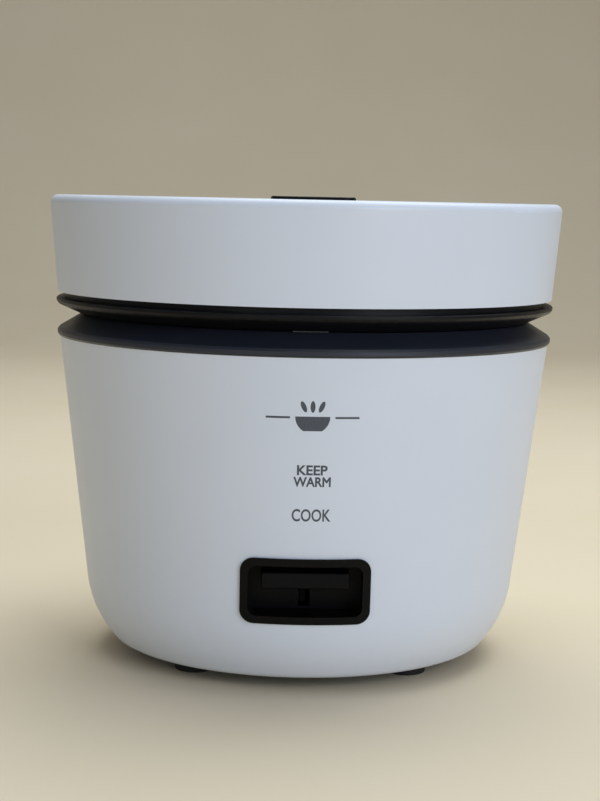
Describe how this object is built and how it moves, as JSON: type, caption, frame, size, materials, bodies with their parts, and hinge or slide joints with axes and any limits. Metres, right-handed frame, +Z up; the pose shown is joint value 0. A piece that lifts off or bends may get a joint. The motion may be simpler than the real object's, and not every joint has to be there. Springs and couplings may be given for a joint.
{
  "type": "rice cooker",
  "caption": "Drum-shaped small rice cooker with a rear-hinged lid, a push-button latch, a lift-out pot and a front cook lever.",
  "frame": {"origin": "on the table, midway between the front of the lid and the back of the hinge, on the left-right centre plane", "axes": "+Z up, -Y towards the front with the cook lever, +X to the right seen from the front"},
  "size_m": [0.19, 0.1966, 0.171],
  "materials": {
    "white_shell": "satin moulded polypropylene",
    "black_trim": "satin moulded black",
    "dark_insulator": "fine grain",
    "bottom_plastic": "textured",
    "latch_plastic": "natural acetal",
    "seal_silicone": "translucent silicone",
    "foot_rubber": "matte",
    "pot_coating": "non-stick coating inside, spun aluminium outside",
    "plate_aluminium": "anodised",
    "cast_aluminium": "cast, turned face",
    "liner_steel": "galvanised sheet",
    "bracket_steel": "zinc plated",
    "bright_steel": "drawn",
    "spring_steel": "spring wire",
    "screw_steel": "zinc plated",
    "ferrite": "sintered",
    "brass_contact": "nickel flashed brass",
    "thermostat_can": "drawn can",
    "lamp_glass": "clear neon lamp"
  },
  "bodies": {
    "base": {"body_shell": "white_shell", "collar": "black_trim", "hinge_pin": "bright_steel", "control_bezel": "black_trim", "lever_bracket": "bracket_steel", "lever_pin": "bright_steel", "bracket_screws": "screw_steel", "micro_switch": "dark_insulator", "switch_holder": "dark_insulator", "thermostat_sleeve": "cast_aluminium", "sensor_spring": "spring_steel", "inner_pot": "pot_coating", "inner_liner": "liner_steel", "heating_plate": "cast_aluminium", "heater_screws": "screw_steel", "plate_spacers": "screw_steel", "element_terminals": "brass_contact", "keep_warm_thermostat": "thermostat_can", "thermal_fuse": "thermostat_can", "fuse_strap": "bracket_steel", "lamp_holder": "dark_insulator", "indicator_lamps": "lamp_glass", "power_inlet": "dark_insulator", "inlet_pins": "brass_contact", "bottom_cover": "bottom_plastic", "bottom_screws": "screw_steel", "chassis_posts": "bracket_steel", "liner_screws": "screw_steel", "rubber_feet": "foot_rubber"},
    "lid": {"lid_cover": "white_shell", "lid_base": "black_trim", "inner_lid_plate": "plate_aluminium", "lid_seal": "seal_silicone", "plate_knob": "black_trim", "steam_vent_tube": "black_trim", "latch_pin": "bright_steel", "latch_spring": "spring_steel", "lid_screws": "screw_steel"},
    "vent_cap": {"steam_vent_cap": "black_trim"},
    "button": {"lid_button": "black_trim"},
    "latch": {"latch_hook": "latch_plastic"},
    "lever": {"lever_arm": "bracket_steel", "cook_key": "black_trim"},
    "magnet": {"magnet_ring": "ferrite", "magnet_rod": "bright_steel"},
    "plunger": {"switch_plunger": "latch_plastic"},
    "sensor": {"sensor_cap": "plate_aluminium", "sensing_ring": "ferrite", "release_spring": "spring_steel"}
  },
  "joints": [
    {"name": "lid_hinge", "type": "hinge", "parent": "base", "child": "lid", "pos_m": [0, 0.0937, 0.127], "axis": [-1, 0, 0], "range_deg": [0, 88]},
    {"name": "vent_cap_lift", "type": "slide", "parent": "lid", "child": "vent_cap", "axis": [0, 0, 1], "range_m": [0, 0.012]},
    {"name": "latch_swing", "type": "hinge", "parent": "lid", "child": "latch", "pos_m": [0, -0.0813, 0.1398], "axis": [-1, 0, 0], "range_deg": [0, 7.65], "deforming": ["latch_spring"]},
    {"name": "button_press", "type": "slide", "parent": "lid", "child": "button", "axis": [0, 0, -1], "range_m": [0, 0.0016], "stiffness_N_per_m": 600, "springref_m": -0.0008},
    {"name": "cook_lever", "type": "hinge", "parent": "base", "child": "lever", "pos_m": [0, -0.0303, 0.028], "axis": [1, 0, 0], "range_deg": [0, 9.55], "stiffness_Nm_per_rad": 0.6, "springref_deg": -4.58, "deforming": ["release_spring"]},
    {"name": "magnet_slide", "type": "slide", "parent": "base", "child": "magnet", "axis": [0, 0, 1], "range_m": [0, 0.0046]},
    {"name": "plunger_slide", "type": "slide", "parent": "base", "child": "plunger", "axis": [0, 0, -1], "range_m": [0, 0.00305]},
    {"name": "sensor_press", "type": "slide", "parent": "base", "child": "sensor", "axis": [0, 0, -1], "range_m": [0, 0.001], "stiffness_N_per_m": 1500, "springref_m": -0.001, "deforming": ["sensor_spring", "release_spring"]}
  ],
  "couplings": [
    {"joint": "latch_swing", "follows": "button_press", "rad_per_m": 83.33},
    {"joint": "magnet_slide", "follows": "cook_lever", "m_per_rad": 0.027},
    {"joint": "plunger_slide", "follows": "cook_lever", "m_per_rad": 0.018}
  ]
}
